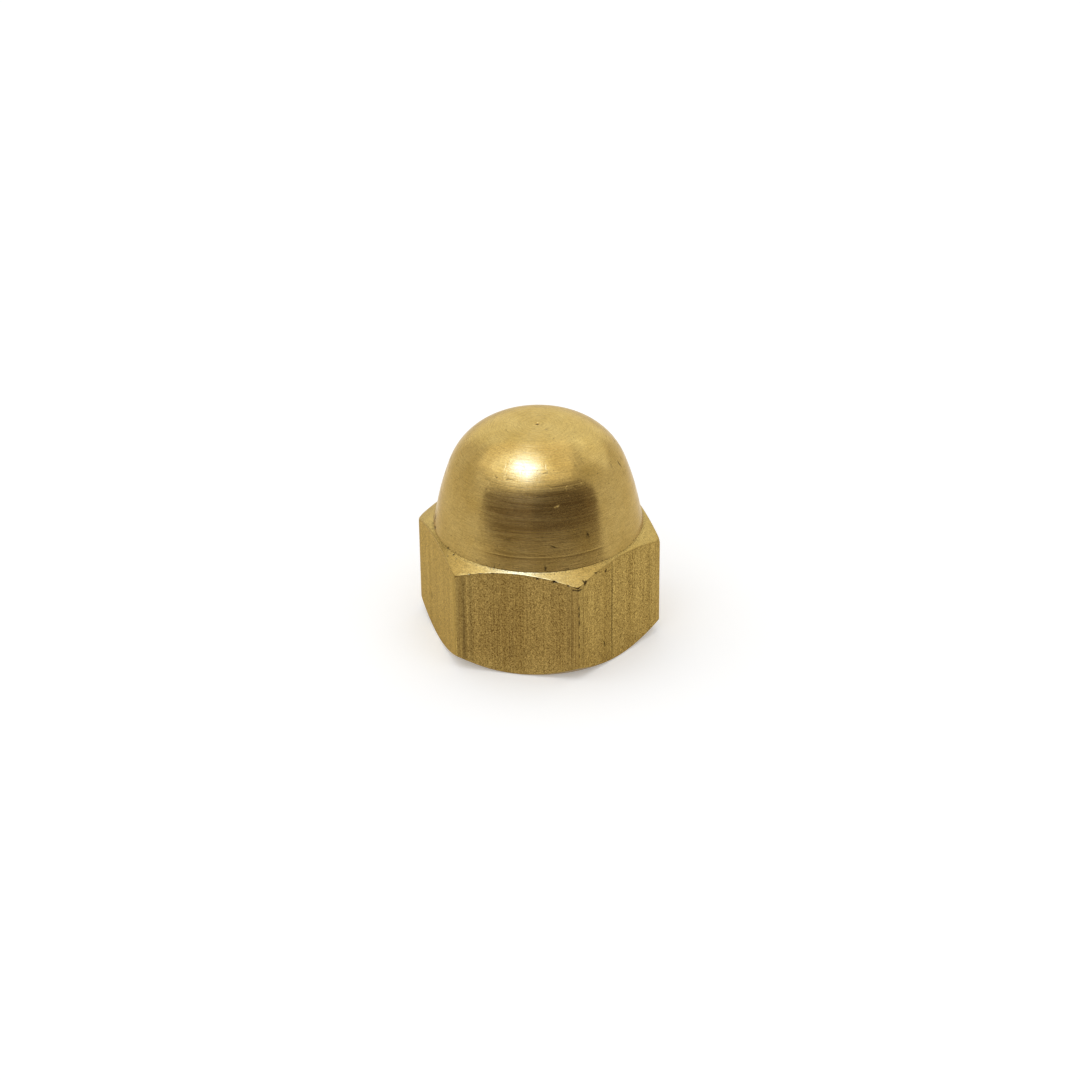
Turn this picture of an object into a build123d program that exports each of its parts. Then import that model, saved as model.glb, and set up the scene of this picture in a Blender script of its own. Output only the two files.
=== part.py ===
from build123d import *
from math import cos, radians, sin, sqrt, tan
import os

# A brass cap nut: one piece turned from hexagon bar, closed at the top by a dome.
# Sizes are in millimetres and degrees. The origin is the centre of the bearing face, +Z
# runs up the thread axis to the dome, and two corners of the hexagon lie on the X axis.

# The hexagon bar, with the softened corners of a drawn bar
across_flats = 17.0
corner_radius = 0.35

# The bearing side: a round face just inside the flats, and the chamfer that rises from it
bearing_inset = 0.11
lower_chamfer_angle = 39.0

# The shoulder: a chamfer that falls from the foot of the dome to the corners
crease_height = 9.25
dome_inset = 0.21
shoulder_angle = 30.0

# The dome's side leans in towards the axis, bends over the nose and ends in a flat crown
taper_angle = 12.0
taper_length = 2.0
flank_radius = 21.3
flank_turn = 8.7
nose_radius = 5.33
crown_slope = 3.1

# The blind tapped hole, drilled from the bearing face
thread_diameter = 10.0
thread_pitch = 1.5
countersink_allowance = 0.8
countersink_angle = 120.0
drill_point_angle = 118.0
crown_wall = 2.25

# Radii and heights that follow from the sizes above
blank_radius = across_flats / sqrt(3)
bearing_radius = across_flats / 2 - bearing_inset
dome_foot_radius = across_flats / 2 - dome_inset
lower_chamfer_height = (blank_radius - bearing_radius) * tan(radians(lower_chamfer_angle))
shoulder_drop = (blank_radius - dome_foot_radius) * tan(radians(shoulder_angle))
nose_turn = 90 - taper_angle - flank_turn - crown_slope

bore_radius = (thread_diameter - thread_pitch) / 2
countersink_radius = (thread_diameter + countersink_allowance) / 2
drill_point_height = bore_radius / tan(radians(drill_point_angle / 2))

os.makedirs("parts", exist_ok=True)

with BuildPart() as cap_nut:
    # The body keeps the bar's six flats where the turned chamfers don't reach. Each cone
    # meets a flat in a curved edge that dips at the corners of the hexagon.
    with BuildSketch(Plane.XY):
        RegularPolygon(across_flats / 2, side_count=6, major_radius=False)
        fillet(vertices(), corner_radius)
    extrude(amount=crease_height)
    with BuildSketch(Plane.XZ):
        with BuildLine():
            bearing_face = Line((0, 0), (bearing_radius, 0))
            lower_chamfer = Line(bearing_face @ 1, (blank_radius, lower_chamfer_height))
            rim = Line(lower_chamfer @ 1, (blank_radius, crease_height - shoulder_drop))
            shoulder = Line(rim @ 1, (dome_foot_radius, crease_height))
            dome_foot = Line(shoulder @ 1, (0, crease_height))
            Line(dome_foot @ 1, bearing_face @ 0)
        make_face()
    revolve(axis=Axis.Z, mode=Mode.INTERSECT)

    # The dome's outline rises from its foot and ends level on the axis.
    with BuildSketch(Plane.XZ):
        with BuildLine():
            foot = Line((0, crease_height), (dome_foot_radius, crease_height))
            taper = PolarLine(foot @ 1, taper_length, 90 + taper_angle)
            flank = JernArc(taper @ 1, taper % 1, flank_radius, flank_turn)
            nose = JernArc(flank @ 1, flank % 1, nose_radius, nose_turn)
            crown_radius = (nose @ 1).X / sin(radians(crown_slope))
            crown = JernArc(nose @ 1, nose % 1, crown_radius, crown_slope)
            axis_line = Line(crown @ 1, foot @ 0)
        make_face()
    revolve(axis=Axis.Z)

    # The drill stops short of the crown by its wall, measured from the tip of its point.
    overall_height = crease_height + axis_line.length
    bore_depth = overall_height - crown_wall - drill_point_height
    with Locations(Plane(origin=(0, 0, 0), z_dir=(0, 0, -1))):
        CounterSinkHole(bore_radius, countersink_radius, bore_depth, countersink_angle)
    with Locations((0, 0, bore_depth)):
        Cone(
            bore_radius,
            0,
            drill_point_height,
            align=(Align.CENTER, Align.CENTER, Align.MIN),
            mode=Mode.SUBTRACT,
        )

cap_nut.part.label = "cap_nut"
export_step(cap_nut.part, "parts/cap_nut.step")
print(f"height {overall_height:.3f}, bore depth {bore_depth:.3f}, crown radius {crown_radius:.2f}")
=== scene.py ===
"""A brass cap nut in a plain photo studio.

The nut is one piece: a hexagon bar turned to a dome, chamfered at both ends, drilled blind
and tapped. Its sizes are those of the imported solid. This script adds what the solid leaves
out: the softened edges, the turning rings, the nicks and the helical thread, and the finish
that each surface got from the tool that made it. Lengths are in millimetres until a mesh is
made, and in metres from there on.
"""

import logging
import math
from dataclasses import dataclass, field
from enum import Enum
from functools import partial
from typing import Any, Callable, Sequence

import bmesh
import bpy
import numpy as np
from mathutils import Matrix, Vector
from mathutils.kdtree import KDTree


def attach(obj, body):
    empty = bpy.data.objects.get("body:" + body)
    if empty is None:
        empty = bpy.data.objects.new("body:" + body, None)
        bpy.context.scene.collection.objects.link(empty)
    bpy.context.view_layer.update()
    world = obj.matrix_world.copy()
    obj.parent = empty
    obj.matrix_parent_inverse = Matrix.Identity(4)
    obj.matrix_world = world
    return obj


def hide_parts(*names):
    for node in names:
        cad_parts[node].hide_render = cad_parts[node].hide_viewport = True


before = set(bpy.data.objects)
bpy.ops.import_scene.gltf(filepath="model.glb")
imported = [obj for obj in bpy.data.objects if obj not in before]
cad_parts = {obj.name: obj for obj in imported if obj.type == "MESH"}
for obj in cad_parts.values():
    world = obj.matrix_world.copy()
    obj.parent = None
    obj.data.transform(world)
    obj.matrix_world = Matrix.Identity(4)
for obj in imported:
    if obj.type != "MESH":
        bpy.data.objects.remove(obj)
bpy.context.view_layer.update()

MM = 0.001
HALF_SIDE = math.radians(30)  # half of the angle that one side of the hexagon takes up
log = logging.getLogger("cap_nut")

Ring = tuple[np.ndarray, np.ndarray]  # the radius and the height of each column
Adder = Callable[..., bpy.types.Node]

# The lines along the flats, each as the values of a Scratch
SCRATCHES = (
    (5, -0.93, 0.2, 0.014, 0.75),
    (5, -4.36, 0.14, 0.008, 0.3),
    (5, -4.12, 0.06, 0.004, 0.05),
    (5, 3.62, 0.16, 0.008, 0.4),
    (5, 1.15, 0.07, 0.006, 0.2, 3.2, 9.6),
    (4, 4.05, 0.12, 0.006, 0.15),
    (4, 4.38, 0.13, 0.008, 0.4),
    # Painted shade: the next three wide, shallow lines darken a strip about 1 mm wide by a corner
    # of flat 4, for how the light falls there. Their grooves are real, but their dark is painted.
    (4, -4.64, 0.26, 0.002, 0.25),
    (4, -4.2, 0.56, 0.003, 0.42),
    (4, -3.65, 0.5, 0.002, 0.25),
    (4, -2.9, 0.07, 0.005, 0.15, -1, 6.4),
    (3, 4.1, 0.08, 0.008, 0.2),
    (3, -1.9, 0.09, 0.009, 0.3),
    (3, -4.3, 0.07, 0.01, 0.3),
    (2, 2.3, 0.08, 0.01, 0.4, 1, 9.8),
    (2, -4.2, 0.09, 0.008, 0.2),
    (1, -0.6, 0.07, 0.007, 0.25),
    (1, 4.34, 0.08, 0.011, 0.3),
    (0, 3, 0.09, 0.01, 0.35, -1, 7),
    (0, -4.15, 0.08, 0.009, 0.2),
)

# The wounds, each as the values of a Nick
NICKS = (
    # On the crown and the dome
    (-41.7, 1.1, 17.79, 0.2, 0.1, 0, 0.02, 0.5),
    (-72.1, 5.53, 16.4, 0.46, 0.07, 6, 0.012, 0.8),
    (-98, 5.95, 15.97, 0.8, 0.06, 4, 0.01, 0.7),
    (-69.6, 7.86, 11.26, 0.65, 0.08, -27, 0.018),
    (-65.9, 6.98, 14.27, 0.6, 0.11, 16, 0.032, 0),
    (-57.9, 6.31, 15.53, 0.34, 0.06, 38, 0.012, 0),
    (-51.8, 6.48, 15.28, 0.3, 0.06, -48, 0.012, 0),
    (-46.4, 6.34, 15.49, 0.36, 0.06, 52, 0.012, 0),
    (-41.4, 6.72, 14.86, 0.3, 0.06, -40, 0.012, 0.1),
    (-62.9, 6.52, 15.21, 0.28, 0.06, 20, 0.01, 0),
    (-48.6, 7.79, 11.59, 0.15, 0.12, 0, 0.03),
    (-3.3, 6.56, 15.15, 0.2, 0.14, 60, 0.03),
    (-13.5, 6.29, 15.56, 0.4, 0.16, 70, 0.006, 0.25),
    (-95.3, 7.77, 11.67, 0.5, 0.3, 20, 0.004, 0.3),
    # In the crease and on the shoulder
    (-74.5, 8.21, 9.61, 0.4, 0.16, 90, 0.03, 0.7),
    (-102.5, 8.27, 9.3, 0.22, 0.12, 80, 0.03, 0.7),
    (-163.5, 8.17, 9.8, 1, 0.36, 62, 0.04, 0.8),
    (-158, 8.25, 9.4, 0.6, 0.2, 20, 0.04, 0.85),
    (-136.1, 8.3, 9.25, 0.22, 0.16, 10, 0.03),
    (-129.5, 8.44, 9.17, 0.18, 0.16, 0, 0.03),
    (-131.9, 8.75, 8.98, 0.14, 0.12, 0, 0.02, 0.6),
    (-104.2, 8.38, 9.2, 0.12, 0.08, 0, 0.02, 0.5),
    (-126, 8.6, 9.07, 0.12, 0.1, 0, 0.02, 0.6),
    (-48.5, 8.95, 8.87, 0.26, 0.13, -30, 0.03, 0.8),
    # Along the edge between the shoulder and the flats
    (-78.6, 8.67, 8.94, 0.26, 0.15, -5, 0.05),
    (-70.3, 9.03, 8.81, 0.36, 0.17, -12, 0.06),
    (-55.7, 9.44, 8.52, 0.4, 0.26, 40, 0.07),
    (-60.2, 9.74, 8.2, 0.85, 0.11, -6, 0.05),
    (-64.2, 9.42, 8.6, 0.3, 0.1, -20, 0.03, 0.7),
    (-101.8, 8.68, 9.02, 0.22, 0.07, 4, 0.02, 0.6),
    (-99.9, 8.62, 9.05, 0.12, 0.07, 4, 0.02, 0.6),
    (-108.3, 8.93, 8.92, 0.5, 0.06, 11, 0.02, 0.6),
    (-113.1, 9.22, 8.76, 0.3, 0.08, 14, 0.03, 0.7),
    (-117.4, 9.55, 8.56, 0.16, 0.08, 15, 0.03, 0.6),
    (-90.4, 8.5, 9.11, 0.26, 0.06, 0, 0.02, 0.6),
    # On the flats and the corner between them
    (-41.2, 8.66, 8.56, 0.24, 0.18, 60, 0.03),
    (-42.2, 8.7, 2.05, 0.3, 0.12, 85, 0.03),
    (-114.1, 9.31, 4.6, 1, 0.07, -78, 0.012, 0),
    (-59.5, 9.74, 6.55, 0.4, 0.12, 90, 0.03),
    (-59.5, 9.74, 6, 0.62, 0.13, 90, 0.035),
    (-59.5, 9.74, 5.2, 0.7, 0.12, 89, 0.035),
    (-59.4, 9.74, 3.95, 0.35, 0.09, 90, 0.03, 0.7),
    (-59.4, 9.74, 3.2, 0.45, 0.1, 90, 0.03, 0.8),
    (-59.4, 9.74, 2.2, 0.3, 0.08, 90, 0.03, 0.6),
    # On the sides that face away
    (22, 8.75, 8.9, 0.4, 0.16, 8, 0.06),
    (64, 9.5, 8.4, 0.3, 0.2, -30, 0.06),
    (101, 8.7, 8.95, 0.34, 0.14, 0, 0.05),
    (147, 8.8, 8.9, 0.42, 0.16, 5, 0.06, 0.8),
    (178, 9.74, 8.1, 0.5, 0.12, 0, 0.05, 0.8),
    (35, 6.9, 14.5, 0.6, 0.07, 24, 0.014, 0.2),
    (88, 7.6, 12.4, 0.2, 0.14, 0, 0.03),
    (131, 6.2, 15.7, 0.7, 0.07, -32, 0.014, 0.5),
    (168, 7.9, 11, 0.5, 0.08, 40, 0.016, 0.3),
    (78, 8.8, 5, 0.3, 0.16, 85, 0.03),
    (12, 9, 3.4, 0.9, 0.08, 70, 0.014, 0.1),
    (119.6, 9.74, 5, 0.6, 0.08, 90, 0.035),
    (60.3, 9.74, 3.2, 0.7, 0.08, 90, 0.03),
    (200, 8.9, 3, 0.24, 0.18, 60, 0.03, 0.8),
)

# The outlines of the two dark cards, as a Screen takes them
DARK_SHAPE = (
    (-68, 17, 29), (-66, 15, 37), (-63, 13, 40), (-55, 7.5, 45), (-48, 3.5, 50), (-40, 0.5, 55),
    (-32, 0, 59), (-24, 0, 61.5), (-1, 0, 62.5), (10, 0, 69), (23, 0, 73), (37, 0, 72.5),
    (50, 0, 69), (60, 0, 61), (66, 1, 52), (69, 9, 47), (73, 18, 33),
)
BLACK_SHAPE = ((-6, 18, 50), (0, 15, 56), (14, 14, 62), (33, 14, 58), (45, 15, 49), (57, 18, 38))


class Zone(Enum):
    """The nut's surfaces, by how each was made. The value is its material index."""

    DOME = 0
    CHAMFER = 1
    FLAT = 2
    BEARING = 3
    BORE = 4


def linear(colour: str) -> tuple[float, float, float, float]:
    """Turns an sRGB hex colour to the linear values that a shader takes.

    Args:
        colour: six hex digits after a hash.

    Returns:
        Linear red, green and blue, and an alpha of 1.
    """
    steps = [int(colour[i : i + 2], 16) / 255 for i in (1, 3, 5)]
    red, green, blue = (
        s / 12.92 if s <= 0.04045 else ((s + 0.055) / 1.055) ** 2.4 for s in steps
    )
    return red, green, blue, 1.0


def add_node(
    tree: bpy.types.NodeTree,
    kind: str,
    inputs: dict[Any, Any] | Sequence[Any] = (),
    **settings: Any,
) -> bpy.types.Node:
    """Adds a node with its settings and links.

    Args:
        tree: the node tree that gets it.
        kind: the node's type name.
        inputs: what goes into the inputs, by name or number, or in their order. A node's
            output is linked, a node stands for the first output that it uses, and
            anything else is set as the input's value.
        settings: the node's own properties.

    Returns:
        The new node.
    """
    node = tree.nodes.new(kind)
    for name, value in settings.items():
        setattr(node, name, value)
    for name, value in inputs.items() if isinstance(inputs, dict) else enumerate(inputs):
        if isinstance(value, bpy.types.Node):
            value = next(output for output in value.outputs if output.enabled)
        if isinstance(value, bpy.types.NodeSocket):
            tree.links.new(value, node.inputs[name])
        else:
            node.inputs[name].default_value = value
    return node


def new_material(name: str) -> tuple[bpy.types.Material, Adder]:
    """Makes a material with an empty node tree.

    Args:
        name: the material's name.

    Returns:
        The material, and what adds a node to it.
    """
    material = bpy.data.materials.new(name)
    material.use_nodes = True
    material.node_tree.nodes.clear()
    return material, partial(add_node, material.node_tree)


def mesh_object(
    name: str, points: Sequence[Sequence[float]], faces: Sequence[Sequence[int]]
) -> bpy.types.Object:
    """Makes an object from points in millimetres.

    Args:
        name: the object's name.
        points: the places of the points.
        faces: the point numbers of each face.

    Returns:
        The object, linked to the scene.
    """
    mesh = bpy.data.meshes.new(name)
    mesh.from_pydata([tuple(c * MM for c in p) for p in points], [], faces)
    mesh.update()
    made = bpy.data.objects.new(name, mesh)
    bpy.context.scene.collection.objects.link(made)
    return made


def around(angle: float, radius: float, height: float) -> tuple[float, float, float]:
    """The place at an angle round the axis, in radians, and at a radius and a height."""
    return radius * math.cos(angle), radius * math.sin(angle), height


@dataclass(frozen=True)
class Ripple:
    """A slow, seeded unevenness of a surface, as a sum of a few waves.

    Args:
        seed: picks the waves.
        lengths: the shortest and longest wave, in mm.
        stretch: how much longer the waves are along the second direction.
        waves: how many there are.
        full_swing: the sum of the waves that takes the unevenness from 0 to 1.
    """

    seed: int
    lengths: tuple[float, float]
    stretch: float = 1.0
    waves: int = 9
    full_swing: float = 8.0

    def at(self, across: np.ndarray, along: np.ndarray) -> np.ndarray:
        """Reads the unevenness.

        Args:
            across: places in the first direction, in mm.
            along: places in the second direction, in mm.

        Returns:
            Values that stay between 0 and 1.
        """
        picks = np.random.default_rng(self.seed)
        total = np.zeros(np.broadcast(across, along).shape)
        for _ in range(self.waves):
            length = picks.uniform(*self.lengths)
            turn, phase = picks.uniform(0, 2 * math.pi, 2)
            place = across * math.cos(turn) + along * math.sin(turn) / self.stretch
            total = total + np.sin(2 * math.pi * place / length + phase)
        return np.clip(0.5 + total / self.full_swing, 0, 1)


@dataclass(frozen=True)
class Groove:
    """A ring that the tool left round the dome.

    Args:
        run: its distance from the dome's foot along the outline, in mm.
        width: its width, in mm.
        depth: its depth, in mm.
    """

    run: float
    width: float
    depth: float


@dataclass
class DomeOutline:
    """The turned outline: a straight taper, a flank arc, a nose arc and a flat crown.

    The angles are in degrees and the lengths in mm. The taper leans in from the vertical,
    the arcs carry on from it, and the crown closes level on the axis, where the tool left
    a shallow pip. The last four fields place the mesh's rings: the first one above the foot,
    and those at a groove or the pip as shares of its width or radius.
    """

    foot_radius: float
    foot_height: float
    taper_angle: float = 12.0
    taper_length: float = 2.0
    flank_radius: float = 21.3
    flank_turn: float = 8.7
    nose_radius: float = 5.33
    crown_slope: float = 3.1
    grooves: tuple[Groove, ...] = (
        Groove(1.16, 0.09, 0.004),
        Groove(6.62, 0.14, 0.003),
        Groove(10.25, 0.12, 0.006),
        Groove(11.15, 0.10, 0.006),
        Groove(11.55, 0.12, 0.010),
        Groove(11.97, 0.12, 0.010),
        Groove(12.66, 0.10, 0.008),
    )
    pip_radius: float = 0.24
    pip_depth: float = 0.075
    first_ring: float = 0.12
    groove_rings: tuple[float, ...] = (-0.5, -0.25, 0, 0.25, 0.5)
    groove_room: float = 0.75
    pip_rings: tuple[float, ...] = (1.35, 1.0, 0.8, 0.55, 0.3, 0.12)

    def __post_init__(self) -> None:
        """Works out where each arc starts and how long the outline is."""
        self.lean = math.radians(self.taper_angle)
        flank_end = self.lean + math.radians(self.flank_turn)
        nose_end = math.radians(90 - self.crown_slope)
        run = self.taper_length
        radius, height, _ = self._on_taper(run)
        self.arcs = []
        for start, end, size in (
            (self.lean, flank_end, self.flank_radius),
            (flank_end, nose_end, self.nose_radius),
            (nose_end, math.pi / 2, None),
        ):
            size = size or radius / math.cos(nose_end)
            self.arcs.append((run, radius, height, start, size))
            run += size * (end - start)
            radius += size * (math.cos(end) - math.cos(start))
            height += size * (math.sin(end) - math.sin(start))
        self.length = run
        self.height = height

    def _on_taper(self, run: float) -> tuple[float, float, float]:
        """The radius, height and lean at a run on the straight taper."""
        radius = self.foot_radius - run * math.sin(self.lean)
        return radius, self.foot_height + run * math.cos(self.lean), self.lean

    def at(self, run: float) -> tuple[float, float, float]:
        """Finds a point of the outline.

        Args:
            run: the distance from the dome's foot along the outline, in mm.

        Returns:
            The radius and height in mm, and the lean from the vertical in radians.
        """
        if run <= self.taper_length:
            return self._on_taper(run)
        start_run, radius, height, start, size = next(
            a for a in reversed(self.arcs) if run >= a[0]
        )
        now = start + (run - start_run) / size
        return (
            radius + size * (math.cos(now) - math.cos(start)),
            height + size * (math.sin(now) - math.sin(start)),
            now,
        )

    def sunk(self, run: float) -> float:
        """Adds up how far the tool marks lower the surface.

        Args:
            run: the distance from the dome's foot along the outline, in mm.

        Returns:
            The depth there, in mm.
        """
        depth = 0.0
        for groove in self.grooves:
            share = abs(run - groove.run) / (groove.width / 2)
            if share < 1:
                depth += groove.depth * (1 + math.cos(math.pi * share)) / 2
        to_pip = (self.length - run) / self.pip_radius
        if to_pip < 1:
            depth += self.pip_depth * (1 - to_pip**2)
        return depth

    def stations(self, step: float) -> list[float]:
        """Lists the runs where the mesh gets a ring of points.

        Args:
            step: the spacing between the tool marks, in mm.

        Returns:
            The runs in rising order, closer together at the grooves and at the pip.
        """
        runs = list(np.arange(self.first_ring, self.length - self.pip_radius, step))
        for groove in self.grooves:
            runs = [r for r in runs if abs(r - groove.run) > groove.width * self.groove_room]
            runs += [groove.run + groove.width * s for s in self.groove_rings]
        runs += [self.length - self.pip_radius * s for s in self.pip_rings]
        return sorted(runs)


@dataclass(frozen=True)
class Scratch:
    """A line that the drawing die or a knock left along a flat.

    Args:
        side: the number of its flat, counted from the one after +X.
        across: its distance from the middle of the flat, in mm.
        width: its width, in mm.
        depth: its depth, in mm.
        dirt: how dark its bottom is, from 0 to 1. On the three wide lines by a corner of flat 4 it
            is painted shade.
        low: where it starts, in mm above the bearing face.
        high: where it ends.
    """

    side: int
    across: float
    width: float
    depth: float
    dirt: float
    low: float = -1.0
    high: float = 10.0

    def strength(self, height: float) -> float:
        """How much of the scratch's depth there is at a height, from 0 to 1."""
        middle, half = (self.low + self.high) / 2, (self.high - self.low) / 2
        return max(0.0, 1 - ((height - middle) / half) ** 4)


@dataclass
class Hexagon:
    """The bar's section: six flats with the softened corners of a drawn bar, in mm.

    The die draws the flats in a little towards the corners, by as much as keeps the sharp
    corner inside the outline of the solid's rounder one. The mesh's columns are closer
    together in a strip beside each corner, and keep clear of the scratches.
    """

    across_flats: float = 17.0
    corner_radius: float = 0.13
    solid_corner_radius: float = 0.35
    drawn_in_from: float = 4.0
    fillet_steps: int = 6
    strip_width: float = 1.2
    strip_columns: int = 11
    middle_columns: int = 17
    scratch_room: float = 0.8
    scratches: tuple[Scratch, ...] = tuple(Scratch(*row) for row in SCRATCHES)

    def _places(self, side: int) -> dict[float, int]:
        """Places the columns across a flat.

        Args:
            side: the number of the flat.

        Returns:
            For each place the number of the scratch that it follows, or -1.
        """
        slope = math.tan(HALF_SIDE)
        reach = self.across_flats / 2 * slope - self.corner_radius * slope
        strip = reach - self.strip_width
        near = np.linspace(reach, strip, self.strip_columns)
        middle = np.linspace(strip, 0, self.middle_columns)[1:-1]
        flat = np.concatenate([-near, -middle, [0.0], middle[::-1], near[::-1]])
        here = [(i, c) for i, c in enumerate(self.scratches) if c.side == side]
        places = {
            place: -1
            for place in flat
            if all(abs(place - c.across) > c.width * self.scratch_room for _, c in here)
        }
        for number, cut in here:
            places[cut.across - cut.width / 2] = -1
            places[cut.across] = number
            places[cut.across + cut.width / 2] = -1
        return places

    def columns(self) -> tuple[np.ndarray, np.ndarray, np.ndarray, np.ndarray, np.ndarray]:
        """Places the mesh's columns round the section.

        Returns:
            For each column its angle in radians, its radius, its distance from the middle
            of its flat, the number of its flat, counted from the one after +X, and the
            number of the scratch that it follows, or -1.
        """
        half = self.across_flats / 2
        edge = half * math.tan(HALF_SIDE)
        centre = (half - self.corner_radius) / math.cos(HALF_SIDE)
        turns = np.radians(np.linspace(-30, 30, self.fillet_steps + 1))[1:-1]
        columns: list[tuple[float, float, float, int, int]] = []
        for side in range(6):
            for turn in turns:
                x = centre + self.corner_radius * math.cos(turn)
                y = self.corner_radius * math.sin(turn)
                angle = math.radians(60 * side) + math.atan2(y, x)
                across, own = (y - edge, side) if turn >= 0 else (y + edge, (side - 1) % 6)
                columns.append((angle, math.hypot(x, y), across, own, -1))
            for place, follows in sorted(self._places(side).items()):
                angle = math.radians(60 * side + 30) + math.atan2(place, half)
                columns.append((angle, math.hypot(place, half), place, side, follows))
        angles, radii, across, sides, follows = (np.array(v) for v in zip(*columns))
        rounder_by = self.solid_corner_radius - self.corner_radius
        excess = rounder_by * (1 / math.cos(HALF_SIDE) - 1)
        share = np.clip((np.abs(across) - self.drawn_in_from) / (edge - self.drawn_in_from), 0, 1)
        return angles, radii - excess * share**2, across, sides, follows


@dataclass
class PointFinder:
    """Finds a mesh's points by their place.

    Args:
        body: the mesh.
    """

    body: bmesh.types.BMesh

    def __post_init__(self) -> None:
        """Sorts the points by place."""
        self.points = list(self.body.verts)
        self.tree = KDTree(len(self.points))
        for number, vert in enumerate(self.points):
            self.tree.insert(vert.co, number)
        self.tree.balance()

    def nearest(self, place: Vector) -> bmesh.types.BMVert:
        """The point nearest a place, in metres."""
        return self.points[self.tree.find(place)[1]]

    def within(self, place: Vector, reach: float) -> list[bmesh.types.BMVert]:
        """The points within a reach of a place, both in metres."""
        return [self.points[found[1]] for found in self.tree.find_range(place, reach)]


@dataclass(frozen=True)
class Nick:
    """A small wound in the surface, where the nut was knocked or the bar had a flaw.

    Args:
        angle: its place round the axis, in degrees from +X.
        radius: its distance from the axis, in mm.
        height: its height above the bearing face, in mm.
        length: its longer size, in mm.
        width: its shorter size, in mm.
        turn: the angle of its length from the horizontal, in degrees.
        depth: how deep it goes, in mm.
        dirt: how dark its bottom is, from 0 to 1.
        spare: how much further than its rim the surface is touched, as a factor.
        fineness: the longest mesh edge that can follow it, as a share of its width.
        lobes: the number and size of the bulges in its ragged rim.
        dirt_edge: how far out the dirt ends, with its rim at 1.
        dirt_slope: how fast the dirt fades there.
    """

    angle: float
    radius: float
    height: float
    length: float
    width: float
    turn: float = 0.0
    depth: float = 0.03
    dirt: float = 0.9
    spare: float = 1.3
    fineness: float = 0.36
    lobes: tuple[tuple[int, float], ...] = ((3, 0.22), (5, 0.14))
    dirt_edge: float = 1.25
    dirt_slope: float = 2.2

    def centre(self) -> Vector:
        """Its middle, in metres."""
        return Vector(around(math.radians(self.angle), self.radius, self.height)) * MM

    def reach(self) -> float:
        """How far from its middle the surface is touched, in metres."""
        return (self.length / 2 + self.width) * self.spare * MM

    def long_edges(self, finder: PointFinder) -> list[bmesh.types.BMEdge]:
        """Lists the mesh edges there that are too long to follow its shape.

        Args:
            finder: the mesh's points.

        Returns:
            The edges, some of them twice.
        """
        near = finder.within(self.centre(), self.reach())
        inside = set(near)
        longest = self.width * self.fineness * MM
        return [
            e
            for v in near
            for e in v.link_edges
            if e.other_vert(v) in inside and e.calc_length() > longest
        ]

    def press(self, finder: PointFinder, seed: int) -> None:
        """Presses the nick into a mesh that is fine enough there.

        Args:
            finder: the mesh's points, with up-to-date normals.
            seed: picks the shape of its ragged rim.
        """
        middle = finder.nearest(self.centre())
        centre, out = middle.co.copy(), middle.normal.copy()
        # Near the axis the surface is level, and there the nick's length lies along X.
        level = Vector((0, 0, 1)).cross(out)
        level = level.normalized() if level.length > 0.02 else Vector((1, 0, 0))
        rise = out.cross(level)
        turn = math.radians(self.turn)
        long_way = level * math.cos(turn) + rise * math.sin(turn)
        short_way = rise * math.cos(turn) - level * math.sin(turn)
        phases = np.random.default_rng(seed).uniform(0, 2 * math.pi, len(self.lobes))
        layer = finder.body.verts.layers.float["pit"]
        for vert in finder.within(centre, self.reach()):
            away = vert.co - centre
            a = away.dot(long_way) / (self.length / 2 * MM)
            b = away.dot(short_way) / (self.width / 2 * MM)
            around, ragged = math.atan2(b, a), 1.0
            for (count, size), phase in zip(self.lobes, phases):
                ragged += size * math.sin(count * around + phase)
            share = math.hypot(a, b) / ragged
            if share < 1:
                vert.co -= out * (self.depth * MM * (1 - share**2))
            dark = self.dirt * min(1.0, max(0.0, self.dirt_edge - share) * self.dirt_slope)
            vert[layer] = max(vert[layer], dark)


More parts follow.
